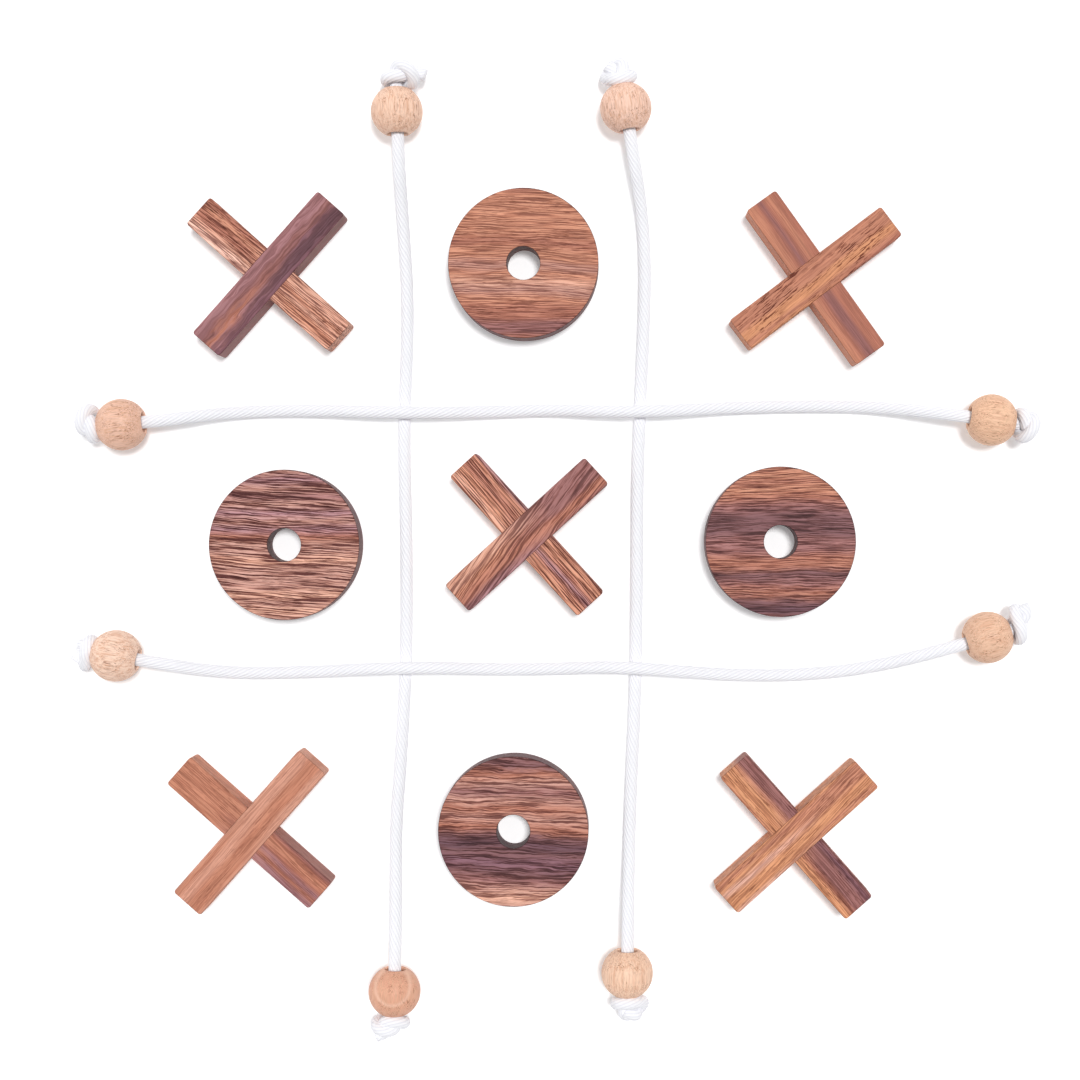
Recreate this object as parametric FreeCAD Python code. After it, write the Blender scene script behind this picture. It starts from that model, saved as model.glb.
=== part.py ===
"""Tic tac toe set: a board of four knotted ropes with beads, five X pieces and four O pieces.

The set lies on a flat surface at Z = 0. The origin is on that surface, in the middle of the set.
The board's two upright ropes run along Y, and its two level ropes run along X and pass over them.
Every length is in millimetres and every angle is in degrees, counted from +X towards +Y.
"""
import FreeCAD, Part
import math
import os

from FreeCAD import Placement, Rotation, Vector

# Rope
ROPE_DIAMETER = 6.3
ROPE_RADIUS = ROPE_DIAMETER / 2
FLOOR_GAP = 0.02
CROSSING_GAP = 0.25
ARC_SHARE = 0.45

# Beads
BEAD_DIAMETER = 25.4
BEAD_RADIUS = BEAD_DIAMETER / 2
BEAD_BORE = 10.0
BEAD_RIM_ROUND = 0.8

# X and O pieces, all cut from one thickness of board
BOARD_THICKNESS = 15.0
BAR_LENGTH = 93.0
BAR_WIDTH = 17.5
BAR_CORNER_ROUND = 1.4
DISC_DIAMETER = 74.0
DISC_HOLE = 16.5
EDGE_ROUND = 0.5

# Heights of a rope's centre line
LAID = ROPE_RADIUS + FLOOR_GAP
THREADED = 11.6
EMERGING = 15.0
CROSSING = LAID + ROPE_DIAMETER + CROSSING_GAP

# How far a rope's ends reach from the middle of a bead, towards its knot and towards the board
TO_KNOT = 15.5
TO_BOARD = 19.0

# Each bead: its centre, and the direction from it to its knot
BEADS = {
    "left_top": ((-76.1, 216.5), 92),
    "left_bottom": ((-77.2, -217.0), 268),
    "right_top": ((36.7, 218.2), 99),
    "right_bottom": ((37.4, -207.9), 269),
    "upper_left": ((-211.8, 62.2), 185),
    "upper_right": ((216.9, 64.5), -8),
    "lower_left": ((-214.5, -51.7), 170),
    "lower_right": ((215.0, -42.6), 16),
}

# Each rope: the bead at its first end, its route between the beads, and the bead at its last end
ROPES = {
    "rope_left": (
        "left_top",
        [
            (-74.0, 162.0, LAID),
            (-71.2, 118.0, LAID),
            (-73.9, 60.0, LAID),
            (-72.3, 6.0, LAID),
            (-72.2, -50.0, LAID),
            (-75.0, -103.0, LAID),
            (-77.6, -135.0, LAID),
            (-77.7, -163.0, LAID),
        ],
        "left_bottom",
    ),
    "rope_right": (
        "right_top",
        [
            (45.4, 165.5, LAID),
            (46.7, 134.0, LAID),
            (44.7, 86.0, LAID),
            (42.6, 38.0, LAID),
            (42.4, -18.0, LAID),
            (41.6, -72.0, LAID),
            (39.4, -118.0, LAID),
            (38.3, -153.0, LAID),
        ],
        "right_bottom",
    ),
    "rope_upper": (
        "upper_left",
        [
            (-158.0, 69.1, LAID),
            (-119.0, 69.8, LAID),
            (-87.5, 68.5, CROSSING),
            (-59.0, 68.3, CROSSING),
            (-29.0, 68.9, LAID),
            (-1.0, 70.1, LAID),
            (29.5, 68.7, CROSSING),
            (57.5, 69.1, CROSSING),
            (89.0, 71.1, LAID),
            (124.0, 72.0, LAID),
            (161.0, 71.6, LAID),
        ],
        "upper_right",
    ),
    "rope_lower": (
        "lower_left",
        [
            (-160.5, -61.3, LAID),
            (-119.0, -60.5, LAID),
            (-87.0, -58.3, CROSSING),
            (-58.5, -57.8, CROSSING),
            (-28.0, -59.2, LAID),
            (-1.0, -59.0, LAID),
            (27.5, -57.3, CROSSING),
            (56.0, -59.0, CROSSING),
            (88.0, -62.0, LAID),
            (121.0, -62.2, LAID),
            (157.0, -58.8, LAID),
        ],
        "lower_right",
    ),
}

# Each knot: the middle of its wrap, the wrap's direction, half length and radius, and the middle
# and radius of the lobe that the rope's tail makes
KNOTS = {
    "left_top": ((-72.4, 234.6, 10.8), 6, 10.8, 6.4, (-67.0, 235.6, 11.8), 6.2),
    "left_bottom": ((-78.6, -234.3, 10.6), 172, 8.4, 5.6, (-83.0, -240.4, 8.6), 4.8),
    "right_top": ((33.3, 236.8, 11.0), 110, 8.2, 7.4, (29.8, 236.2, 11.4), 5.6),
    "right_bottom": ((37.6, -225.6, 10.8), 168, 8.4, 6.4, (41.8, -226.8, 10.0), 5.6),
    "upper_left": ((-229.2, 60.0, 10.8), 110, 8.0, 5.5, (-231.8, 66.6, 9.4), 4.5),
    "upper_right": ((233.5, 62.6, 10.8), 84, 7.6, 5.4, (236.0, 57.4, 8.6), 4.4),
    "lower_left": ((-231.4, -49.1, 10.8), 74, 8.2, 5.8, (-235.0, -53.4, 9.2), 4.8),
    "lower_right": ((231.5, -38.6, 10.8), 98, 7.8, 5.4, (234.4, -30.2, 9.6), 4.6),
}

# Each X piece: its centre, the direction of the bar that runs over, and of the bar that runs under
X_PIECES = {
    "x_top_left": ((-139.0, 136.3), 48.5, -42.0),
    "x_top_right": ((130.2, 134.4), 37.0, -54.5),
    "x_centre": ((-12.0, 8.1), 42.5, -47.5),
    "x_bottom_left": ((-148.3, -138.6), 48.5, -41.5),
    "x_bottom_right": ((120.6, -140.7), 42.0, -48.5),
}

# Each O piece's centre
O_PIECES = {
    "o_top": (-13.7, 141.6),
    "o_left": (-131.3, 3.0),
    "o_right": (112.9, 4.5),
    "o_bottom": (-18.6, -138.0),
}


def heading(angle):
    """The level unit vector in this direction."""
    return Vector(math.cos(math.radians(angle)), math.sin(math.radians(angle)), 0)


def bead_point(name, distance, height):
    """The point this far from a bead's centre, counted towards its knot."""
    (x, y), angle = BEADS[name]
    return Vector(x, y, height) + heading(angle) * distance


def rope_route(first_bead, between, last_bead):
    """Every corner of a rope's route, from inside one knot to inside the other."""
    points = [bead_point(first_bead, TO_KNOT, THREADED), bead_point(first_bead, -TO_BOARD, EMERGING)]
    points += [Vector(*point) for point in between]
    points += [bead_point(last_bead, -TO_BOARD, EMERGING), bead_point(last_bead, TO_KNOT, THREADED)]
    return points


def arc_radius(before, corner, after):
    """The largest radius that rounds this corner within its share of the shorter run."""
    turn = (corner - before).getAngle(after - corner)
    shorter = min((corner - before).Length, (after - corner).Length)
    return ARC_SHARE * shorter / math.tan(turn / 2)


def corner_arc(before, corner, after):
    """The arc, tangent to both runs, that rounds one corner of a route."""
    radius = arc_radius(before, corner, after)
    turn = (corner - before).getAngle(after - corner)
    back = (before - corner).normalize()
    onward = (after - corner).normalize()
    reach = radius * math.tan(turn / 2)
    inward = (back + onward).normalize()
    middle = corner + inward * (radius / math.cos(turn / 2) - radius)
    return Part.Arc(corner + back * reach, middle, corner + onward * reach)


def route_wire(points):
    """Straight runs joined by tangent arcs, as one wire."""
    arcs = [corner_arc(*points[i - 1 : i + 2]) for i in range(1, len(points) - 1)]
    edges = []
    here = points[0]
    for arc in arcs:
        edges.append(Part.LineSegment(here, arc.StartPoint).toShape())
        edges.append(arc.toShape())
        here = arc.EndPoint
    edges.append(Part.LineSegment(here, points[-1]).toShape())
    return Part.Wire(edges)


def make_rope(name, points):
    """A round tube along the route, with its bend radii and its volume printed."""
    wire = route_wire(points)
    section = Part.Wire(Part.makeCircle(ROPE_RADIUS, points[0], points[1] - points[0]))
    rope = wire.makePipeShell([section], True, True)
    radii = [arc_radius(*points[i - 1 : i + 2]) for i in range(1, len(points) - 1)]
    expected = math.pi * ROPE_RADIUS**2 * wire.Length
    print(f"{name}: length {wire.Length:.1f} mm, bend radii", [round(radius) for radius in radii])
    print(f"{name}: volume {rope.Volume:.0f} mm3, section times length {expected:.0f} mm3")
    return rope


def make_bead(name):
    """A drilled ball, its bore level and pointing at its knot, with softly rounded rims."""
    (x, y), angle = BEADS[name]
    centre = Vector(x, y, BEAD_RADIUS)
    ball = Part.makeSphere(BEAD_RADIUS)
    drill = Part.makeCylinder(BEAD_BORE / 2, BEAD_DIAMETER, Vector(0, 0, -BEAD_RADIUS))
    bead = ball.cut(drill)
    rims = [edge for edge in bead.Edges if is_rim(edge)]
    bead = bead.makeFillet(BEAD_RIM_ROUND, rims)
    bead.Placement = Placement(centre, Rotation(Vector(0, 0, 1), heading(angle)))
    return bead


def is_rim(edge):
    """Whether an edge is the full circle where a bore breaks out of a ball."""
    return isinstance(edge.Curve, Part.Circle) and abs(edge.Curve.Radius - BEAD_BORE / 2) < 0.01


def make_capsule(middle, angle, half_length, radius):
    """A round bar with ball-shaped ends, level, about a middle point."""
    along = heading(angle)
    up = Vector(0, 0, radius)
    tips = [middle + along * reach for reach in (-half_length, half_length)]
    straight = half_length - radius
    balls = [middle + along * reach for reach in (-straight, straight)]
    slant = radius * math.sqrt(0.5)
    shoulders = [balls[i] + along * side * slant + Vector(0, 0, slant) for i, side in ((0, -1), (1, 1))]
    outline = [
        Part.Arc(tips[0], shoulders[0], balls[0] + up),
        Part.LineSegment(balls[0] + up, balls[1] + up),
        Part.Arc(balls[1] + up, shoulders[1], tips[1]),
        Part.LineSegment(tips[1], tips[0]),
    ]
    face = Part.Face(Part.Wire([curve.toShape() for curve in outline]))
    return face.revolve(middle, along, 360)


def make_knot(name, rope):
    """The outer shape of an overhand knot: its wrap and its tail, with the rope let into it."""
    middle, angle, half_length, radius, tail, tail_radius = KNOTS[name]
    wrap = make_capsule(Vector(*middle), angle, half_length, radius)
    lobe = Part.makeSphere(tail_radius, Vector(*tail), heading(angle))
    return wrap.fuse(lobe).cut(rope)


def make_blank(angle, low, high):
    """A square-edged bar between two heights, centred on the origin and turned to its direction."""
    corner = Vector(-BAR_LENGTH / 2, -BAR_WIDTH / 2, low)
    blank = Part.makeBox(BAR_LENGTH, BAR_WIDTH, high - low, corner)
    blank.Placement = Placement(Vector(), Rotation(Vector(0, 0, 1), angle))
    return blank


def make_bar(angle):
    """A whole bar with rounded corners and softened edges, before its notch is cut."""
    bar = make_blank(0, 0, BOARD_THICKNESS)
    uprights = [edge for edge in bar.Edges if edge.BoundBox.ZLength > BOARD_THICKNESS / 2]
    bar = bar.makeFillet(BAR_CORNER_ROUND, uprights)
    level = [edge for edge in bar.Edges if edge.BoundBox.ZLength < EDGE_ROUND]
    bar = bar.makeFillet(EDGE_ROUND, level)
    bar.Placement = Placement(Vector(), Rotation(Vector(0, 0, 1), angle))
    return bar


def make_x(name):
    """The two bars of an X piece, halved into each other so that their faces are level."""
    (x, y), over_angle, under_angle = X_PIECES[name]
    half = BOARD_THICKNESS / 2
    over = make_bar(over_angle).cut(make_blank(under_angle, 0, half))
    under = make_bar(under_angle).cut(make_blank(over_angle, half, BOARD_THICKNESS))
    for bar in (over, under):
        bar.translate(Vector(x, y, 0))
    return {f"{name}_over_bar": over, f"{name}_under_bar": under}


def make_o(name):
    """A thick disc with a round hole through its middle, and softened edges."""
    x, y = O_PIECES[name]
    disc = Part.makeCylinder(DISC_DIAMETER / 2, BOARD_THICKNESS)
    disc = disc.cut(Part.makeCylinder(DISC_HOLE / 2, BOARD_THICKNESS))
    circles = [edge for edge in disc.Edges if isinstance(edge.Curve, Part.Circle)]
    disc = disc.makeFillet(EDGE_ROUND, circles)
    disc.translate(Vector(x, y, 0))
    return disc


def make_board():
    """The ropes, and the bead and knot at each end of each."""
    nodes = {}
    for name, (first, between, last) in ROPES.items():
        rope = make_rope(name, rope_route(first, between, last))
        nodes[name] = rope
        for end in (first, last):
            nodes[f"bead_{end}"] = make_bead(end)
            nodes[f"knot_{end}"] = make_knot(end, rope)
    return nodes


def make_pieces():
    """The X and O pieces, where they lie on the board."""
    nodes = {}
    for name in X_PIECES:
        nodes.update(make_x(name))
    for name in O_PIECES:
        nodes[name] = make_o(name)
    return nodes


def main():
    os.makedirs("parts", exist_ok=True)
    nodes = {**make_board(), **make_pieces()}
    for name, shape in nodes.items():
        shape.exportStep(f"parts/{name}.step")
    print(len(nodes), "nodes")


main()
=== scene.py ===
"""Tic tac toe set: a grid of four ropes with wooden beads, five crosses and four rings."""

import math

import bpy
import numpy as np
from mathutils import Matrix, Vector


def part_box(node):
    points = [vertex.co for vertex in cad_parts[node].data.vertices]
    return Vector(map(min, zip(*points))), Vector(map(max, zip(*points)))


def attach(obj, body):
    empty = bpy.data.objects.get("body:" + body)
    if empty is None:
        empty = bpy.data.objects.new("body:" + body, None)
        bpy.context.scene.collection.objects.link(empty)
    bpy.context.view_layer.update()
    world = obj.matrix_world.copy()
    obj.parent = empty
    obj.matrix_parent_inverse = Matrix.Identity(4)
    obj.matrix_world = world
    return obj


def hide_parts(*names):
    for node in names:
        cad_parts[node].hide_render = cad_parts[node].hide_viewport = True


MM = 0.001

# Camera, straight above the set: its place and clipping in metres, its sensor and lens in millimetres
CAMERA_PLACE = (0.0265, 0.01425, 0.88)
CAMERA_SENSOR = 36.0
CAMERA_LENS = 58.67
CAMERA_SHIFT = (-0.0602, -0.0167)
CAMERA_CLIP = (0.01, 20.0)

# Rope, in millimetres: its ridges wind round it once in each lay
ROPE_DIAMETER = 6.3
ROPE_RIDGES = 12
ROPE_LAY = 42.0
ROPE_GROOVE = 0.3
ROPE_STEP = 1.2
POINTS_PER_RIDGE = 8

# How far the middle of a rope's closed end stands out, as a share of its diameter
TIP_BULGE = 0.08

# Heights of the ropes' route points in millimetres: on the floor, over another rope, on a bead's knot
# side and on its board side
LAID = 3.17
CROSSING = 9.72
THREADED = 11.6
EMERGING = 15.0

# How far those last two lie from the middle of a bead, in millimetres
TO_KNOT = 15.5
TO_BOARD = 19.0

# Knots, in millimetres: the rope is drawn a little thinner where it is pulled tight, a knot starts
# inside its bead's mouth, and its centre line comes no lower than KNOT_FLOOR
KNOT_ROPE = 6.2
KNOT_GROOVE = 0.18
KNOT_GAP = 5.4
KNOT_STEP = 0.7
KNOT_START = 10.6
KNOT_FLOOR = KNOT_ROPE / 2.0 + 0.1

# The loose overhand knot: its size and its legs' length in millimetres, its points, and how far its
# curve's parameter runs either side of its middle
OVERHAND_SIZE = 5.0
OVERHAND_LEG = 30.0
OVERHAND_POINTS = 160
OVERHAND_REACH = 2.05

# How it is pulled tight: points, rounds, and in each round how far each point is drawn to the middle
# of its neighbours and of those three away, and how often touching turns are pushed apart; only
# points farther apart along the rope than so many gaps can touch
TIGHT_POINTS = 110
TIGHT_ROUNDS = 420
TIGHT_PULL = 0.9
TIGHT_STIFFNESS = 0.06
TIGHT_PUSHES = 5
TIGHT_REACH = 1.6

# A step of the tight knot's line is a straight leg's while this share of it lies along the pull
LEG_SHARE = 0.9

# A tail has turned to its own heading after 1 / TAIL_BEND of its length
TAIL_BEND = 1.5

# How often a tied knot's line is smoothed
KNOT_SMOOTHINGS = 4

# Each bead: its centre in millimetres, and the heading from it to its knot in degrees
BEADS = {
    "left_top": ((-76.1, 216.5), 92.0),
    "left_bottom": ((-77.2, -217.0), 268.0),
    "right_top": ((36.7, 218.2), 99.0),
    "right_bottom": ((37.4, -207.9), 269.0),
    "upper_left": ((-211.8, 62.2), 185.0),
    "upper_right": ((216.9, 64.5), -8.0),
    "lower_left": ((-214.5, -51.7), 170.0),
    "lower_right": ((215.0, -42.6), 16.0),
}

# Each rope: its body, its two beads, its length from knot to knot, and its route points between the
# beads, in millimetres
ROPES = {
    "rope_left": {
        "body": "upright_ropes",
        "ends": ("left_top", "left_bottom"),
        "length": 467.0,
        "between": (
            (-74.0, 162.0, LAID),
            (-71.2, 118.0, LAID),
            (-73.9, 60.0, LAID),
            (-72.3, 6.0, LAID),
            (-72.2, -50.0, LAID),
            (-75.0, -103.0, LAID),
            (-77.6, -135.0, LAID),
            (-77.7, -163.0, LAID),
        ),
    },
    "rope_right": {
        "body": "upright_ropes",
        "ends": ("right_top", "right_bottom"),
        "length": 460.0,
        "between": (
            (45.4, 165.5, LAID),
            (46.7, 134.0, LAID),
            (44.7, 86.0, LAID),
            (42.6, 38.0, LAID),
            (42.4, -18.0, LAID),
            (41.6, -72.0, LAID),
            (39.4, -118.0, LAID),
            (38.3, -153.0, LAID),
        ),
    },
    "rope_upper": {
        "body": "upper_rope",
        "ends": ("upper_left", "upper_right"),
        "length": 465.0,
        "between": (
            (-158.0, 69.1, LAID),
            (-119.0, 69.8, LAID),
            (-87.5, 68.5, CROSSING),
            (-59.0, 68.3, CROSSING),
            (-29.0, 68.9, LAID),
            (-1.0, 70.1, LAID),
            (29.5, 68.7, CROSSING),
            (57.5, 69.1, CROSSING),
            (89.0, 71.1, LAID),
            (124.0, 72.0, LAID),
            (161.0, 71.6, LAID),
        ),
    },
    "rope_lower": {
        "body": "lower_rope",
        "ends": ("lower_left", "lower_right"),
        "length": 468.0,
        "between": (
            (-160.5, -61.3, LAID),
            (-119.0, -60.5, LAID),
            (-87.0, -58.3, CROSSING),
            (-58.5, -57.8, CROSSING),
            (-28.0, -59.2, LAID),
            (-1.0, -59.0, LAID),
            (27.5, -57.3, CROSSING),
            (56.0, -59.0, CROSSING),
            (88.0, -62.0, LAID),
            (121.0, -62.2, LAID),
            (157.0, -58.8, LAID),
        ),
    },
}

# Each knot: its roll about the rope, its squash along the rope, its lean in the board's plane, and
# its tail's length in millimetres and turn from the rope's heading; angles are in degrees
KNOTS = {
    "left_top": {"roll": 306, "squash": 0.9, "lean": -42, "tail": 10, "turn": -115},
    "left_bottom": {"roll": 0, "squash": 0.62, "lean": -23, "tail": 8, "turn": -70},
    "right_top": {"roll": 106, "squash": 0.89, "lean": 26, "tail": 3, "turn": 45},
    "right_bottom": {"roll": 120, "squash": 0.85, "lean": 34, "tail": 9, "turn": -115},
    "upper_left": {"roll": 334, "squash": 0.7, "lean": -30, "tail": 6, "turn": -100},
    "upper_right": {"roll": 294, "squash": 0.62, "lean": -15, "tail": 4, "turn": -85},
    "lower_left": {"roll": 140, "squash": 0.62, "lean": 22, "tail": 4, "turn": 70},
    "lower_right": {"roll": 168, "squash": 0.82, "lean": 26, "tail": 8, "turn": 100},
}

# Wood tones, as 8-bit sRGB
TONES = {
    "cream": (224, 170, 150),
    "tan": (209, 149, 126),
    "honey": (211, 143, 104),
    "amber": (193, 127, 101),
    "clay": (184, 129, 114),
    "rust": (174, 109, 89),
    "mauve": (161, 111, 112),
    "cocoa": (148, 96, 91),
    "plum": (124, 82, 89),
    "umber": (120, 78, 78),
    "dusk": (98, 64, 70),
}

# Each game piece's wood:
# - grain: the heading of its grain in degrees
# - bands: its tones across the grain, which turn into the end_bands towards its far end
# - sway, curl, ripple: how far the bands swing in long bends, short curls and ripples, in millimetres
# - streak, line, slant: the strength of its fine lines, their width in millimetres, and their turn
#   from the grain in degrees
# - pore: the strength of its pores
GAME_WOODS = {
    "x_top_left_over_bar": {
        "grain": 48.5,
        "bands": "mauve mauve mauve cocoa rust mauve plum plum",
        "end_bands": "mauve mauve mauve cocoa plum dusk dusk plum",
        "sway": 4.68,
        "curl": 3.2,
        "ripple": 1.375,
        "streak": 0.3,
        "pore": 0.15,
        "line": 0.8,
        "slant": 0,
    },
    "x_top_left_under_bar": {
        "grain": -42.0,
        "bands": "rust rust amber rust rust tan cream cream",
        "end_bands": "tan tan tan amber tan amber amber tan",
        "sway": 1.8,
        "curl": 0.64,
        "ripple": 0.66,
        "streak": 0.8,
        "pore": 0.8,
        "line": 0.5,
        "slant": 3,
    },
    "x_top_right_over_bar": {
        "grain": 37.0,
        "bands": "amber amber amber amber honey honey amber honey",
        "end_bands": "amber amber amber amber honey honey amber rust",
        "sway": 1.8,
        "curl": 0.64,
        "ripple": 0.66,
        "streak": 0.22,
        "pore": 1.0,
        "line": 0.5,
        "slant": 4,
    },
    "x_top_right_under_bar": {
        "grain": -54.5,
        "bands": "rust rust amber rust cocoa rust amber amber",
        "end_bands": "rust rust rust cocoa cocoa rust amber amber",
        "sway": 1.44,
        "curl": 0.32,
        "ripple": 0.44,
        "streak": 0.15,
        "pore": 0.1,
        "line": 0.6,
        "slant": 0,
    },
    "x_centre_over_bar": {
        "grain": 42.5,
        "bands": "tan tan tan amber rust rust cocoa mauve",
        "end_bands": "cocoa cocoa cocoa cocoa cocoa rust rust cocoa",
        "sway": 4.32,
        "curl": 0.96,
        "ripple": 1.32,
        "streak": 0.65,
        "pore": 0.4,
        "line": 0.7,
        "slant": 11,
    },
    "x_centre_under_bar": {
        "grain": -47.5,
        "bands": "mauve amber rust rust amber amber tan amber",
        "end_bands": "rust amber amber rust mauve rust amber amber",
        "sway": 1.44,
        "curl": 0.64,
        "ripple": 0.77,
        "streak": 0.95,
        "pore": 0.5,
        "line": 0.48,
        "slant": -2,
    },
    "x_bottom_left_over_bar": {
        "grain": 48.5,
        "bands": "tan amber tan tan amber amber amber tan",
        "end_bands": "tan tan tan amber amber amber tan tan",
        "sway": 1.8,
        "curl": 0.48,
        "ripple": 0.55,
        "streak": 0.2,
        "pore": 0.3,
        "line": 0.55,
        "slant": 0,
    },
    "x_bottom_left_under_bar": {
        "grain": -41.5,
        "bands": "amber amber amber amber amber amber amber amber",
        "end_bands": "cocoa rust amber rust mauve rust mauve mauve",
        "sway": 1.8,
        "curl": 0.48,
        "ripple": 0.77,
        "streak": 0.28,
        "pore": 0.35,
        "line": 0.55,
        "slant": 0,
    },
    "x_bottom_right_over_bar": {
        "grain": 42.0,
        "bands": "honey amber honey cream honey honey honey cream",
        "end_bands": "honey amber amber amber honey honey amber honey",
        "sway": 2.16,
        "curl": 0.64,
        "ripple": 0.88,
        "streak": 0.35,
        "pore": 0.5,
        "line": 0.55,
        "slant": 4,
    },
    "x_bottom_right_under_bar": {
        "grain": -48.5,
        "bands": "cocoa cocoa cocoa amber honey honey honey amber",
        "end_bands": "cocoa plum cocoa cocoa cocoa rust honey honey",
        "sway": 1.44,
        "curl": 0.48,
        "ripple": 0.55,
        "streak": 0.42,
        "pore": 0.6,
        "line": 0.5,
        "slant": 0,
    },
    "o_top": {
        "grain": -2.0,
        "bands": (
            "rust amber amber amber amber amber amber rust amber amber "
            "clay amber tan clay amber rust rust cocoa cocoa rust"
        ),
        "sway": 3.96,
        "curl": 0.96,
        "ripple": 1.375,
        "streak": 0.62,
        "pore": 0.5,
        "line": 0.5,
        "slant": 0,
    },
    "o_left": {
        "grain": 0.0,
        "bands": (
            "clay mauve clay cocoa clay mauve clay mauve rust clay "
            "clay tan clay clay clay tan clay tan clay"
        ),
        "sway": 3.6,
        "curl": 0.96,
        "ripple": 1.375,
        "streak": 1.0,
        "pore": 0.6,
        "line": 0.44,
        "slant": -4,
    },
    "o_right": {
        "grain": 0.0,
        "bands": (
            "rust amber rust amber rust cocoa umber umber umber cocoa "
            "cocoa rust rust umber cocoa rust umber dusk cocoa"
        ),
        "sway": 3.96,
        "curl": 1.28,
        "ripple": 1.65,
        "streak": 0.85,
        "pore": 0.4,
        "line": 0.5,
        "slant": 0,
    },
    "o_bottom": {
        "grain": -3.0,
        "bands": (
            "cocoa umber rust clay cocoa clay rust clay rust "
            "umber dusk umber plum umber cocoa clay tan clay"
        ),
        "sway": 4.68,
        "curl": 1.92,
        "ripple": 1.925,
        "streak": 0.8,
        "pore": 0.4,
        "line": 0.54,
        "slant": 0,
    },
}

# Sizes of the game wood's features along, across and through its grain, in millimetres
SWAY_SIZE = (55.0, 20.0, 30.0)
CURL_SIZE = (9.0, 3.0, 5.0)
RIPPLE_SIZE = (17.0, 0.9, 2.0)
CLOUD_SIZE = (26.0, 2.6, 4.0)
STREAK_LENGTH = 20.0
STREAK_DEPTH = 1.8
FIBRE_SIZE = (7.0, 0.3, 0.5)
PORE_SIZE = (4.5, 0.42, 0.6)
CROWD_SIZE = (24.0, 6.0, 9.0)

# The streak noise's values between which a dark line and a pale line come in, and those of the pore
# noise and of the crowding noise between which a pore does
DARK_LINE = (0.515, 0.56)
PALE_LINE = (0.485, 0.43)
PORE_EDGE = (0.56, 0.62)
CROWD_EDGE = (0.3, 0.55)

# What a noise does to the colour or the roughness: two noise values, then what they turn into
CLOUD_TINT = (0.35, 0.65, 0.93, 1.05)
FIBRE_TINT = (0.25, 0.75, 0.86, 1.12)
SHEEN = (0.3, 0.7, 0.62, 0.52)
PORE_ROUGHNESS = 0.2

# What the dark lines, the pale lines and the pores of the game wood multiply its colour by
LINE_SHADE = (0.24, 0.15, 0.17, 1.0)
LINE_LIGHT = (1.48, 1.78, 1.9, 1.0)
PORE_SHADE = (0.3, 0.2, 0.2, 1.0)

# The shares of the sway and the curl that the fine lines follow, and half the length in
# millimetres over which a bar's bands turn into its end_bands
LINE_SWAY = 0.7
LINE_CURL = 0.5
END_FADE = 18.0

# Where a top turns into a side: the upright part of the surface's normal at the top's end and at the
# side's end of the edge, then the painted shade on the edge, from none at both ends to the darkest
# halfway
SIDE_NORMAL = (0.9, 0.3)
EDGE_PAINTED_SHADE = (0.0, 0.25, 1.0, 0.55)

# Bumps of the woods and the rope: the fibre's share against a pore's, the depth in metres, and the
# strength of the gloss
GAME_BUMP = {"fibre": 0.35, "depth": 0.00008, "gloss": 0.15}
BEAD_BUMP = {"fibre": 0.3, "depth": 0.00006, "gloss": 0.2}
ROPE_BUMP = {"depth": 0.0001, "gloss": 0.1}

# The two shapes of game piece: half its width across the grain in millimetres, the tone of its sides
# and the share of that tone that they take, and the name's start that tells a disc from a bar
BAR = {"half_width": 8.75, "side_tone": (206, 148, 122), "side_share": 0.2}
DISC = {"half_width": 37.0, "side_tone": (98, 70, 72), "side_share": 0.85}
DISC_NAME = "o_"

BEAD_TONES = {
    "left_top": (250, 212, 188),
    "left_bottom": (227, 169, 142),
    "right_top": (250, 211, 191),
    "right_bottom": (247, 209, 182),
    "upper_left": (240, 196, 173),
    "upper_right": (244, 200, 167),
    "lower_left": (252, 218, 196),
    "lower_right": (239, 197, 168),
}
BEAD_STRIPE = (228, 178, 148)
BEAD_PORE = (150, 88, 58)
BEAD_PORE_SHARE = 0.85
BEAD_ROUGHNESS = 0.5

# Sizes of the bead wood's features along, across and through its grain, in millimetres
BEAD_STRIPE_SIZE = (20.0, 0.8, 1.1)
BEAD_FIBRE_SIZE = (6.0, 0.3, 0.3)
BEAD_PORE_SIZE = (4.2, 0.27, 0.3)
BEAD_CROWD_SIZE = (9.0, 3.0, 3.0)

# What those noises do, as for the game wood
BEAD_STRIPE_EDGE = (0.44, 0.64, 0.0, 0.85)
BEAD_FIBRE_TINT = (0.3, 0.7, 0.86, 1.07)
BEAD_PORE_EDGE = (0.59, 0.64)
BEAD_CROWD_EDGE = (0.42, 0.6)

# One bead shows a soft pale ring: its radius and the shift of its middle in millimetres, then two
# distances from its line and how much of its tone shows at each
RINGED_BEAD = "left_bottom"
RING_TONE = (252, 214, 190)
RING_RADIUS = 8.4
RING_SHIFT = (4.5, 0.0, 0.0)
RING_FADE = (1.5, 0.1, 0.0, 0.4)

# The rope's white, and the painted shade that darkens its grooves between the strands
ROPE_WHITE = (249, 249, 252)
ROPE_GROOVE_PAINTED_SHADE = (232, 232, 240)

# The rope's fibre noise: its size in ridges round the rope and millimetres along it, with the third
# number unused, and what it does
ROPE_FIBRE_SIZE = (1.0 / 9.0, 1.0 / 0.6, 1.0)
ROPE_FIBRE_TINT = (0.3, 0.7, 0.95, 1.0)
ROPE_SHEEN = (0.2, 0.8, 0.7, 0.85)

# Steps between the pieces' seeds, in millimetres, so that no two are cut from the same wood
SEED_STEPS = (137.0, 71.0, 53.0)
FIRST_BEAD_SEED = 20

# Studio, in metres: a white floor that glows a little, and a sky that is white up to the first height
# of the fade and dimmer from the second up
FLOOR_HALF = 15.0
FLOOR_HEIGHT = -0.0001
FLOOR_WHITE = (0.95, 0.95, 0.955, 1.0)
FLOOR_GLOW = 0.2
SKY_WHITE = (0.98, 0.985, 1.0, 1.0)
HORIZON_FADE = (0.05, 0.15)
SKY_STRENGTH = (1.0, 0.29)

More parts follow.
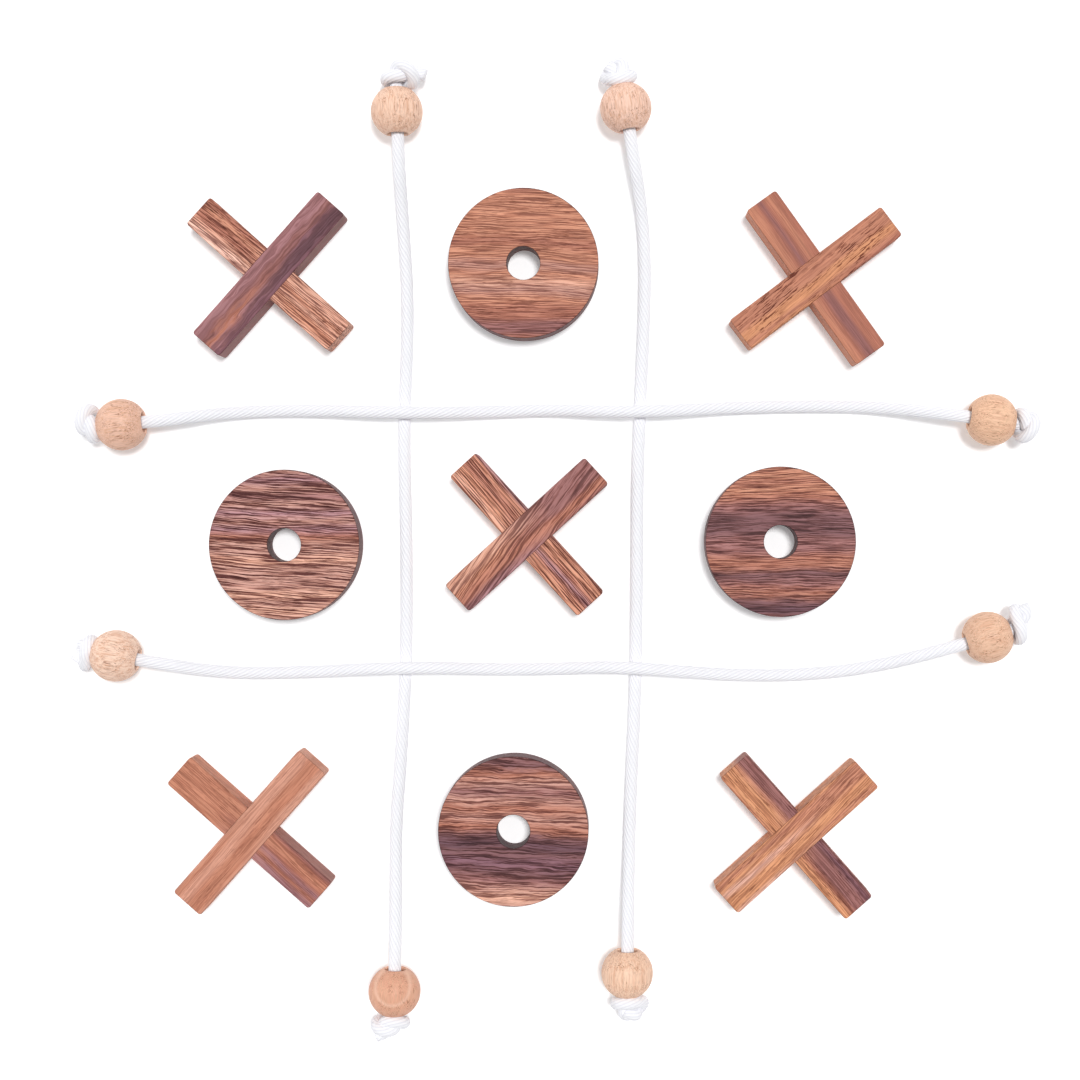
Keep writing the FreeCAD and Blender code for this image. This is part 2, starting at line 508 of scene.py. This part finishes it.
# Each sun lamp: its strength, its width in degrees, and its tilts about X and Y in degrees
KEY_LIGHT = {"energy": 2.28, "width": 14.0, "tilt": (-9.0, 8.5)}
FILL_LIGHT = {"energy": 0.55, "width": 70.0, "tilt": (-15.0, -55.0)}


def linear(colour):
    """A colour given as 8-bit sRGB, as the renderer's linear RGBA."""
    shares = [part / 255.0 for part in colour]
    return tuple(c / 12.92 if c <= 0.04045 else ((c + 0.055) / 1.055) ** 2.4 for c in shares) + (1.0,)


def add_camera():
    camera = bpy.data.cameras.new("camera")
    camera.sensor_width = CAMERA_SENSOR
    camera.lens = CAMERA_LENS
    camera.shift_x, camera.shift_y = CAMERA_SHIFT
    camera.clip_start, camera.clip_end = CAMERA_CLIP
    holder = bpy.data.objects.new("camera", camera)
    holder.location = CAMERA_PLACE
    bpy.context.scene.collection.objects.link(holder)
    bpy.context.scene.camera = holder


def heading(degrees):
    angle = math.radians(degrees)
    return np.array([math.cos(angle), math.sin(angle), 0.0])


def bead_point(name, distance, height):
    """The point at a height, and at a distance from the bead's centre towards its knot."""
    centre, angle = BEADS[name]
    return np.array([*centre, height]) + heading(angle) * distance


def rope_route(rope):
    first, last = rope["ends"]
    start = [bead_point(first, TO_KNOT, THREADED), bead_point(first, -TO_BOARD, EMERGING)]
    finish = [bead_point(last, -TO_BOARD, EMERGING), bead_point(last, TO_KNOT, THREADED)]
    return np.array([*start, *rope["between"], *finish])


def smooth_line(route):
    """The points of an open NURBS spline that has the route's points as its control points."""
    curve = bpy.data.curves.new("route", "CURVE")
    curve.dimensions = "3D"
    spline = curve.splines.new("NURBS")
    spline.points.add(len(route) - 1)
    for point, place in zip(spline.points, route):
        point.co = (*place, 1.0)
    spline.order_u = 3
    spline.use_endpoint_u = True
    spline.resolution_u = 24
    holder = bpy.data.objects.new("route", curve)
    mesh = bpy.data.meshes.new_from_object(holder)
    line = np.array([vertex.co for vertex in mesh.vertices])
    bpy.data.objects.remove(holder)
    bpy.data.curves.remove(curve)
    bpy.data.meshes.remove(mesh)
    return line


def lengths_along(line):
    steps = np.linalg.norm(np.diff(line, axis=0), axis=1)
    return np.concatenate([[0.0], np.cumsum(steps)])


def spaced(line, count):
    """The line's points again, at even distances along it."""
    along = lengths_along(line)
    wanted = np.linspace(0.0, along[-1], count)
    return np.column_stack([np.interp(wanted, along, line[:, axis]) for axis in range(3)])


def cross_frames(line, up):
    """Two unit vectors across the line at each point, carried along it without twist."""
    tangents = np.gradient(line, axis=0)
    tangents /= np.linalg.norm(tangents, axis=1)[:, None]
    side = np.cross(up, tangents[0])
    firsts = []
    for tangent in tangents:
        side = side - tangent * np.dot(side, tangent)
        side = side / np.linalg.norm(side)
        firsts.append(side)
    firsts = np.array(firsts)
    return firsts, np.cross(tangents, firsts), tangents


def ridged_section(diameter, depth):
    """Angles and radii round a laid rope's section: one rounded ridge for each strand."""
    count = ROPE_RIDGES * POINTS_PER_RIDGE
    angles = np.arange(count) * 2.0 * math.pi / count
    groove = np.abs(np.sin(angles * ROPE_RIDGES / 2.0)) ** 3
    return angles, diameter / 2.0 - depth * groove


def rope_points(line, along, diameter, depth):
    """The mesh's points: a section at each point of the line, turned by the lay, and the two tips."""
    firsts, seconds, tangents = cross_frames(line, np.array([0.0, 0.0, 1.0]))
    angles, radii = ridged_section(diameter, depth)
    turned = (angles[None, :] - along[:, None] * 2.0 * math.pi / ROPE_LAY)[:, :, None]
    sideways = np.cos(turned) * firsts[:, None, :] + np.sin(turned) * seconds[:, None, :]
    rings = line[:, None, :] + radii[None, :, None] * sideways
    bulge = diameter * TIP_BULGE
    tips = np.array([line[0] - tangents[0] * bulge, line[-1] + tangents[-1] * bulge])
    return np.vstack([rings.reshape(-1, 3), tips])


def rope_faces(along):
    """The mesh's faces, and for each of their corners its ridge round the rope and its place along."""
    around = ROPE_RIDGES * POINTS_PER_RIDGE
    last_row = len(along) - 1
    first_tip = len(along) * around
    faces = []
    places = []
    for row in range(last_row):
        near, far = along[row], along[row + 1]
        low, high = row * around, (row + 1) * around
        for step in range(around):
            following = (step + 1) % around
            left, right = step / POINTS_PER_RIDGE, (step + 1) / POINTS_PER_RIDGE
            faces.append((low + step, low + following, high + following, high + step))
            places.extend([(left, near), (right, near), (right, far), (left, far)])
    for step in range(around):
        following = (step + 1) % around
        left, right = step / POINTS_PER_RIDGE, (step + 1) / POINTS_PER_RIDGE
        faces.append((step, first_tip, following))
        places.extend([(left, 0.0), (left, -1.0), (right, 0.0)])
        faces.append((last_row * around + following, first_tip + 1, last_row * around + step))
        places.extend([(right, along[-1]), (left, along[-1] + 1.0), (left, along[-1])])
    return faces, places


def laid_rope(name, line, diameter, depth):
    """A rope's mesh along a line in millimetres: ridges that wind round it, and closed ends."""
    along = lengths_along(line)
    points = rope_points(line, along, diameter, depth)
    faces, places = rope_faces(along)
    mesh = bpy.data.meshes.new(name)
    mesh.from_pydata((points * MM).tolist(), [], faces)
    layer = mesh.uv_layers.new(name="strands")
    layer.data.foreach_set("uv", np.array(places, dtype=np.float32).ravel())
    mesh.polygons.foreach_set("use_smooth", [True] * len(mesh.polygons))
    piece = bpy.data.objects.new(name, mesh)
    bpy.context.scene.collection.objects.link(piece)
    return piece


def loose_overhand():
    """An overhand knot with long straight legs: a polynomial trefoil, before it is pulled tight."""
    t = np.linspace(-OVERHAND_REACH, OVERHAND_REACH, OVERHAND_POINTS)
    middle = np.column_stack([t**3 - 3.0 * t, t**4 - 4.0 * t**2, t**5 / 5.0 - 2.0 * t]) * OVERHAND_SIZE
    outward = np.array([middle[-1][0], 0.0, middle[-1][2]])
    outward /= np.linalg.norm(outward)
    return np.vstack([-outward * OVERHAND_LEG, middle, outward * OVERHAND_LEG])


def pushed_apart(line, gap, may_touch):
    """The line's points moved off each other where two stretches lie nearer than the gap."""
    apart = line[:, None, :] - line[None, :, :]
    distance = np.linalg.norm(apart, axis=2) + 1e-9
    overlap = np.where(may_touch & (distance < gap), gap - distance, 0.0)
    touching = np.maximum((overlap > 0.0).sum(axis=1), 1)
    push = (apart / distance[:, :, None] * overlap[:, :, None] * 0.5).sum(axis=1)
    push /= np.sqrt(touching)[:, None]
    push[0] = 0.0
    push[-1] = 0.0
    return line + push


def pulled_tight(line, gap):
    """The same line after shortening until its turns lie a gap apart, its two ends held still."""
    index = np.arange(TIGHT_POINTS)
    for _ in range(TIGHT_ROUNDS):
        line = spaced(line, TIGHT_POINTS)
        step = np.linalg.norm(line[1] - line[0])
        may_touch = np.abs(index[:, None] - index[None, :]) > TIGHT_REACH * gap / step
        line[1:-1] += TIGHT_PULL * (0.5 * (line[:-2] + line[2:]) - line[1:-1])
        line[3:-3] += TIGHT_STIFFNESS * (0.5 * (line[:-6] + line[6:]) - line[3:-3])
        for _ in range(TIGHT_PUSHES):
            line = pushed_apart(line, gap, may_touch)
    return line


def knot_core():
    """The tight knot's line with its pull along x, and where its turns begin and end along it."""
    line = pulled_tight(loose_overhand(), KNOT_GAP)
    pull = line[-1] - line[0]
    pull /= np.linalg.norm(pull)
    side = np.cross(pull, np.array([0.0, 1.0, 0.0]))
    side /= np.linalg.norm(side)
    line = (line - line[0]) @ np.column_stack([pull, side, np.cross(pull, side)])
    steps = np.diff(line, axis=0)
    straight = steps[:, 0] / np.linalg.norm(steps, axis=1) > LEG_SHARE
    start = int(np.argmin(straight)) + 1
    finish = len(straight) - int(np.argmin(straight[::-1])) - 1
    return line, start, finish


def turned_line(line, first, second, degrees):
    """The line turned by an angle from the first of two axes towards the second."""
    angle = math.radians(degrees)
    result = line.copy()
    result[:, first] = line[:, first] * math.cos(angle) - line[:, second] * math.sin(angle)
    result[:, second] = line[:, first] * math.sin(angle) + line[:, second] * math.cos(angle)
    return result


def with_tail(line, length, turn):
    """The line with a tail added, which bends from the line's last direction to its own heading."""
    outward = line[-1] - line[-3]
    outward /= np.linalg.norm(outward)
    aim = heading(turn)
    tail = [line[-1]]
    steps = max(int(length / KNOT_STEP), 2)
    for step in range(steps):
        share = min((step + 1) / steps * TAIL_BEND, 1.0)
        direction = outward * (1.0 - share) + aim * share
        direction /= np.linalg.norm(direction)
        tail.append(tail[-1] + direction * length / steps)
    return np.vstack([line, tail[1:]])


def tied_line(core, knot):
    """One knot's line: x runs out along the rope from where the knot meets the bead."""
    line, start, finish = core
    line = line[start - 2 : finish + 3].copy()
    line -= line[0]
    line[:, 0] *= knot["squash"]
    line = turned_line(line, 1, 2, knot["roll"])
    line = turned_line(line, 0, 1, knot["lean"])
    line = with_tail(line, knot["tail"], knot["turn"])
    radius = KNOT_ROPE / 2.0
    line[:, 0] += radius - min(line[3:, 0].min(), radius)
    line = spaced(line, int(lengths_along(line)[-1] / KNOT_STEP))
    for _ in range(KNOT_SMOOTHINGS):
        line[1:-1] = (line[:-2] + line[1:-1] * 2.0 + line[2:]) / 4.0
    return line


def make_knot(core, name):
    """One overhand knot, out along the rope from its bead and resting on the floor."""
    angle = BEADS[name][1]
    line = tied_line(core, KNOTS[name])
    across = heading(angle + 90.0)
    up = np.array([0.0, 0.0, 1.0])
    placed = bead_point(name, KNOT_START, THREADED)
    placed = placed + line[:, :1] * heading(angle) + line[:, 1:2] * across + line[:, 2:] * up
    placed[:, 2] = np.maximum(placed[:, 2], KNOT_FLOOR)
    piece = laid_rope(f"{name}_overhand", placed, KNOT_ROPE, KNOT_GROOVE)
    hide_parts(f"knot_{name}")
    return piece


def make_rope(name, core, finish):
    """One rope with its two knots, given the rope's finish and attached to its body."""
    rope = ROPES[name]
    line = smooth_line(rope_route(rope))
    count = int(lengths_along(line)[-1] / ROPE_STEP)
    line = spaced(line, count)
    piece = laid_rope(f"{name}_strands", line, ROPE_DIAMETER, ROPE_GROOVE)
    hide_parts(name)
    knots = [make_knot(core, end) for end in rope["ends"]]
    for part in (piece, *knots):
        part.data.materials.append(finish)
        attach(part, rope["body"])


class Shader:
    """One material's nodes. Each call adds a node, joins its inputs and gives back its output."""

    def __init__(self, name):
        self.material = bpy.data.materials.new(name)
        self.material.use_nodes = True
        self.tree = self.material.node_tree
        self.tree.nodes.clear()

    def add(self, kind, inputs, output=0, **settings):
        node = self.tree.nodes.new(kind)
        for key, value in settings.items():
            setattr(node, key, value)
        for key, value in inputs.items():
            socket = node.inputs[key]
            if isinstance(value, bpy.types.NodeSocket):
                self.tree.links.new(value, socket)
            else:
                socket.default_value = value
        return node.outputs[output]

    def math(self, operation, first, second=0.0):
        return self.add("ShaderNodeMath", {0: first, 1: second}, operation=operation)

    def vector(self, operation, first, second):
        return self.add("ShaderNodeVectorMath", {0: first, 1: second}, operation=operation)

    def split(self, vector):
        """The three numbers of a vector."""
        node = self.tree.nodes.new("ShaderNodeSeparateXYZ")
        self.tree.links.new(vector, node.inputs[0])
        return node.outputs

    def turn(self, vector, degrees):
        values = {"Vector": vector, "Angle": math.radians(degrees)}
        return self.add("ShaderNodeVectorRotate", values, rotation_type="Z_AXIS")

    def noise(self, place, size, detail=2.0, roughness=0.5):
        """Noise whose features have that size along, across and through the grain."""
        shrunk = self.vector("MULTIPLY", place, tuple(1.0 / length for length in size))
        values = {"Vector": shrunk, "Scale": 1.0, "Detail": detail, "Roughness": roughness}
        return self.add("ShaderNodeTexNoise", values)

    def remap(self, value, low, high, new_low=0.0, new_high=1.0):
        """The value's share of the way from low to high, held between the new ends."""
        values = {"Value": value, 1: low, 2: high, 3: new_low, 4: new_high}
        return self.add("ShaderNodeMapRange", values, clamp=True)

    def mix(self, factor, first, second, blend="MIX"):
        values = {0: factor, 6: first, 7: second}
        return self.add("ShaderNodeMix", values, output=2, data_type="RGBA", blend_type=blend)

    def tint(self, colour, by, share=1.0):
        """The colour multiplied by another, in a share."""
        return self.mix(share, colour, by, "MULTIPLY")

    def ramp(self, value, colours):
        """Even bands of colour, from the first at 0 to the last at 1."""
        node = self.tree.nodes.new("ShaderNodeValToRGB")
        self.tree.links.new(value, node.inputs[0])
        stops = node.color_ramp.elements
        last = len(colours) - 1
        while len(stops) < len(colours):
            stops.new(1.0)
        for index, colour in enumerate(colours):
            stops[index].position = index / last
        for index, colour in enumerate(colours):
            stops[index].color = colour
        return node.outputs[0]

    def finish(self, colour, roughness, height, bump):
        """The finished material: its colour, its roughness, and a bump that follows the height."""
        raised = {"Height": height, "Distance": bump["depth"], "Strength": 1.0}
        surface = {
            "Base Color": colour,
            "Roughness": roughness,
            "Normal": self.add("ShaderNodeBump", raised),
            "Specular IOR Level": bump["gloss"],
        }
        shaded = self.add("ShaderNodeBsdfPrincipled", surface)
        self.add_output(shaded)
        return self.material

    def add_output(self, shaded):
        node = self.tree.nodes.new("ShaderNodeOutputMaterial")
        self.tree.links.new(shaded, node.inputs["Surface"])


def grain_place(shader, origin, grain, seed):
    """Millimetres from the piece's middle with x along the grain, plain and moved by the seed."""
    place = shader.add("ShaderNodeTexCoord", {}, output=3)
    centred = shader.vector("SUBTRACT", place, origin)
    plain = shader.vector("MULTIPLY", shader.turn(centred, -grain), (1.0 / MM, 1.0 / MM, 1.0 / MM))
    moved = shader.vector("ADD", plain, tuple(seed * step for step in SEED_STEPS))
    return plain, moved


def swing(shader, value, amount):
    """A noise value turned into a shift of up to about the amount either way."""
    return shader.math("MULTIPLY", shader.math("SUBTRACT", value, 0.5), 2.0 * amount)


def grain_swings(shader, moved, wood):
    """How far the bands swing across the grain: in long bends, in short curls and in ripples."""
    sway = swing(shader, shader.noise(moved, SWAY_SIZE), wood["sway"])
    curl = swing(shader, shader.noise(moved, CURL_SIZE), wood["curl"])
    ripple = swing(shader, shader.noise(moved, RIPPLE_SIZE, detail=3.0, roughness=0.65), wood["ripple"])
    return sway, curl, ripple


def band_colours(bands):
    return [linear(TONES[tone]) for tone in bands.split()]


def banded(shader, plain, shift, half_width, wood):
    """Bands of tone across the grain, which on a bar turn into others towards its far end."""
    along, across = shader.split(plain)[:2]
    share = shader.math("MULTIPLY", shader.math("ADD", across, shift), -0.5 / half_width)
    share = shader.math("ADD", share, 0.5)
    colour = shader.ramp(share, band_colours(wood["bands"]))
    if "end_bands" in wood:
        end_colour = shader.ramp(share, band_colours(wood["end_bands"]))
        colour = shader.mix(shader.remap(along, -END_FADE, END_FADE), colour, end_colour)
    return colour


def line_place(shader, moved, sway, curl, slant):
    """The place that fine lines, fibre and pores follow: swung like the bands, and slanted."""
    followed_curl = shader.math("MULTIPLY", curl, LINE_CURL)
    followed_sway = shader.math("MULTIPLY", sway, LINE_SWAY)
    drift = shader.math("ADD", followed_curl, followed_sway)
    wavy = shader.vector("ADD", moved, shader.add("ShaderNodeCombineXYZ", {1: drift}))
    return shader.turn(wavy, -slant)


def lined(shader, colour, streak, strength):
    """The colour with dark lines where the streak noise is high, and pale ones where it is low."""
    dark = shader.math("MULTIPLY", shader.remap(streak, *DARK_LINE), strength)
    colour = shader.tint(colour, LINE_SHADE, dark)
    pale = shader.math("MULTIPLY", shader.remap(streak, *PALE_LINE), strength)
    return shader.tint(colour, LINE_LIGHT, pale)


def sided(shader, colour, form):
    """The colour with the tone of the cut sides mixed in there, and painted shade darkening it round
    the edge.
    """
    normal = shader.add("ShaderNodeTexCoord", {}, output=1)
    side = shader.remap(shader.math("ABSOLUTE", shader.split(normal)[2]), *SIDE_NORMAL)
    side_colour = shader.mix(form["side_share"], colour, linear(form["side_tone"]))
    colour = shader.mix(side, colour, side_colour)
    # Painted shade: darkest halfway round the edge, where the top turns into a side
    edge_shade = shader.math("MULTIPLY", side, shader.math("SUBTRACT", 1.0, side))
    return shader.tint(colour, shader.remap(edge_shade, *EDGE_PAINTED_SHADE))


def pored_roughness(shader, roughness, pore):
    return shader.math("ADD", roughness, shader.math("MULTIPLY", pore, PORE_ROUGHNESS))


def game_wood(name, origin, form, wood, seed):
    """Oiled hardwood with bands across the grain, streaks and open pores."""
    shader = Shader(f"wood_{name}")
    plain, moved = grain_place(shader, origin, wood["grain"], seed)
    sway, curl, ripple = grain_swings(shader, moved, wood)
    shift = shader.math("ADD", shader.math("ADD", sway, curl), ripple)
    colour = banded(shader, plain, shift, form["half_width"], wood)
    wavy = line_place(shader, moved, sway, curl, wood["slant"])
    cloud = shader.noise(wavy, CLOUD_SIZE, detail=1.0)
    colour = shader.tint(colour, shader.remap(cloud, *CLOUD_TINT))
    streak = shader.noise(wavy, (STREAK_LENGTH, wood["line"], STREAK_DEPTH), detail=1.0)
    colour = lined(shader, colour, streak, wood["streak"])
    fibre = shader.noise(wavy, FIBRE_SIZE)
    colour = shader.tint(colour, shader.remap(fibre, *FIBRE_TINT))
    dash = shader.remap(shader.noise(wavy, PORE_SIZE, detail=1.0, roughness=0.4), *PORE_EDGE)
    crowd = shader.remap(shader.noise(moved, CROWD_SIZE, detail=1.0), *CROWD_EDGE)
    pore = shader.math("MULTIPLY", dash, shader.math("MULTIPLY", crowd, wood["pore"]))
    colour = sided(shader, shader.tint(colour, PORE_SHADE, pore), form)
    roughness = pored_roughness(shader, shader.remap(streak, *SHEEN), pore)
    height = shader.math("SUBTRACT", shader.math("MULTIPLY", fibre, GAME_BUMP["fibre"]), pore)
    return shader.finish(colour, roughness, height, GAME_BUMP)


def ringed(shader, colour, plain):
    """The colour with a soft pale ring round a point on the bead's top."""
    flat = shader.vector("MULTIPLY", shader.vector("ADD", plain, RING_SHIFT), (1.0, 1.0, 0.0))
    distance = shader.add("ShaderNodeVectorMath", {0: flat}, 1, operation="LENGTH")
    from_ring = shader.math("ABSOLUTE", shader.math("SUBTRACT", distance, RING_RADIUS))
    ring = shader.remap(from_ring, *RING_FADE)
    return shader.mix(ring, colour, linear(RING_TONE))


def bead_wood(name, origin, grain, seed):
    """Pale bead wood with soft stripes and short brown pores along its bore."""
    shader = Shader(f"wood_{name}")
    plain, moved = grain_place(shader, origin, grain, seed)
    stripe = shader.remap(shader.noise(moved, BEAD_STRIPE_SIZE, detail=3.0), *BEAD_STRIPE_EDGE)
    colour = shader.mix(stripe, linear(BEAD_TONES[name]), linear(BEAD_STRIPE))
    fibre = shader.noise(moved, BEAD_FIBRE_SIZE)
    colour = shader.tint(colour, shader.remap(fibre, *BEAD_FIBRE_TINT))
    dash = shader.remap(shader.noise(moved, BEAD_PORE_SIZE, detail=1.0, roughness=0.4), *BEAD_PORE_EDGE)
    crowd = shader.remap(shader.noise(moved, BEAD_CROWD_SIZE, detail=1.0), *BEAD_CROWD_EDGE)
    pore = shader.math("MULTIPLY", dash, crowd)
    colour = shader.mix(shader.math("MULTIPLY", pore, BEAD_PORE_SHARE), colour, linear(BEAD_PORE))
    if name == RINGED_BEAD:
        colour = ringed(shader, colour, plain)
    roughness = pored_roughness(shader, BEAD_ROUGHNESS, pore)
    height = shader.math("SUBTRACT", shader.math("MULTIPLY", fibre, BEAD_BUMP["fibre"]), pore)
    return shader.finish(colour, roughness, height, BEAD_BUMP)


def rope_finish():
    """White laid cord: bright strands, painted shade darkening the grooves between them, and fine
    fibres.
    """
    shader = Shader("white_rope")
    place = shader.add("ShaderNodeUVMap", {}, uv_map="strands")
    round_rope = shader.split(place)[0]
    ridge = shader.math("ABSOLUTE", shader.math("SINE", shader.math("MULTIPLY", round_rope, math.pi)))
    groove = shader.math("POWER", shader.math("SUBTRACT", 1.0, ridge), 2.0)
    fibre = shader.noise(place, ROPE_FIBRE_SIZE)
    # Painted shade: the grooves between the strands are mixed towards a grey-lavender tone
    colour = shader.mix(groove, linear(ROPE_WHITE), linear(ROPE_GROOVE_PAINTED_SHADE))
    colour = shader.tint(colour, shader.remap(fibre, *ROPE_FIBRE_TINT))
    roughness = shader.remap(fibre, *ROPE_SHEEN)
    return shader.finish(colour, roughness, fibre, ROPE_BUMP)


def middle_of(node):
    low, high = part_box(node)
    return tuple((a + b) / 2.0 for a, b in zip(low, high))


def finish_wood(nodes):
    """Gives every bar, disc and bead its own wood."""
    for seed, (name, wood) in enumerate(GAME_WOODS.items(), start=1):
        form = DISC if name.startswith(DISC_NAME) else BAR
        nodes[name].material_slots[0].material = game_wood(name, middle_of(name), form, wood, seed)
    for seed, (name, (_, angle)) in enumerate(BEADS.items(), start=FIRST_BEAD_SEED):
        node = f"bead_{name}"
        nodes[node].material_slots[0].material = bead_wood(name, middle_of(node), angle, seed)


def add_floor():
    """A wide white floor just under the set."""
    half = FLOOR_HALF
    corners = [(-half, -half, 0.0), (half, -half, 0.0), (half, half, 0.0), (-half, half, 0.0)]
    mesh = bpy.data.meshes.new("floor")
    mesh.from_pydata(corners, [], [(0, 1, 2, 3)])
    shader = Shader("floor_white")
    white = shader.add("ShaderNodeBsdfDiffuse", {"Color": FLOOR_WHITE})
    glow = shader.add("ShaderNodeEmission", {"Color": (1.0, 1.0, 1.0, 1.0), "Strength": FLOOR_GLOW})
    shader.add_output(shader.add("ShaderNodeAddShader", {0: white, 1: glow}))
    mesh.materials.append(shader.material)
    floor = bpy.data.objects.new("floor", mesh)
    floor.location = (0.0, 0.0, FLOOR_HEIGHT)
    bpy.context.scene.collection.objects.link(floor)


def add_sky():
    """A soft white sky, brightest at the horizon."""
    world = bpy.data.worlds.new("studio")
    world.use_nodes = True
    tree = world.node_tree
    backdrop = tree.nodes["Background"]
    backdrop.inputs["Color"].default_value = SKY_WHITE
    direction = tree.nodes.new("ShaderNodeTexCoord")
    height = tree.nodes.new("ShaderNodeSeparateXYZ")
    fade = tree.nodes.new("ShaderNodeMapRange")
    tree.links.new(direction.outputs["Generated"], height.inputs[0])
    tree.links.new(height.outputs[2], fade.inputs["Value"])
    tree.links.new(fade.outputs[0], backdrop.inputs["Strength"])
    for key, value in zip(("From Min", "From Max", "To Min", "To Max"), (*HORIZON_FADE, *SKY_STRENGTH)):
        fade.inputs[key].default_value = value
    bpy.context.scene.world = world


def add_sun(name, lamp):
    light = bpy.data.lights.new(name, "SUN")
    light.energy = lamp["energy"]
    light.angle = math.radians(lamp["width"])
    holder = bpy.data.objects.new(name, light)
    holder.rotation_euler = (*(math.radians(tilt) for tilt in lamp["tilt"]), 0.0)
    bpy.context.scene.collection.objects.link(holder)


def add_light():
    """The sky, a key light from the upper right and a broad fill from the upper left."""
    add_sky()
    add_sun("sun", KEY_LIGHT)
    add_sun("fill", FILL_LIGHT)
    bpy.context.scene.view_settings.view_transform = "Standard"


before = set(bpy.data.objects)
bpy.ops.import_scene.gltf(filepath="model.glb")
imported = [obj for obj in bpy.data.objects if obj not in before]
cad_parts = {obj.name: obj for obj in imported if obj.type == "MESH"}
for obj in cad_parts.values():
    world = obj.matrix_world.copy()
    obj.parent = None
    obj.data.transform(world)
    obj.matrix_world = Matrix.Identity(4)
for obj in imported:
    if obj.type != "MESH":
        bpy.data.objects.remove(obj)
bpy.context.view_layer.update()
add_camera()
overhand = knot_core()
rope_material = rope_finish()
for rope_name in ROPES:
    make_rope(rope_name, overhand, rope_material)
finish_wood(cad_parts)
add_floor()
add_light()
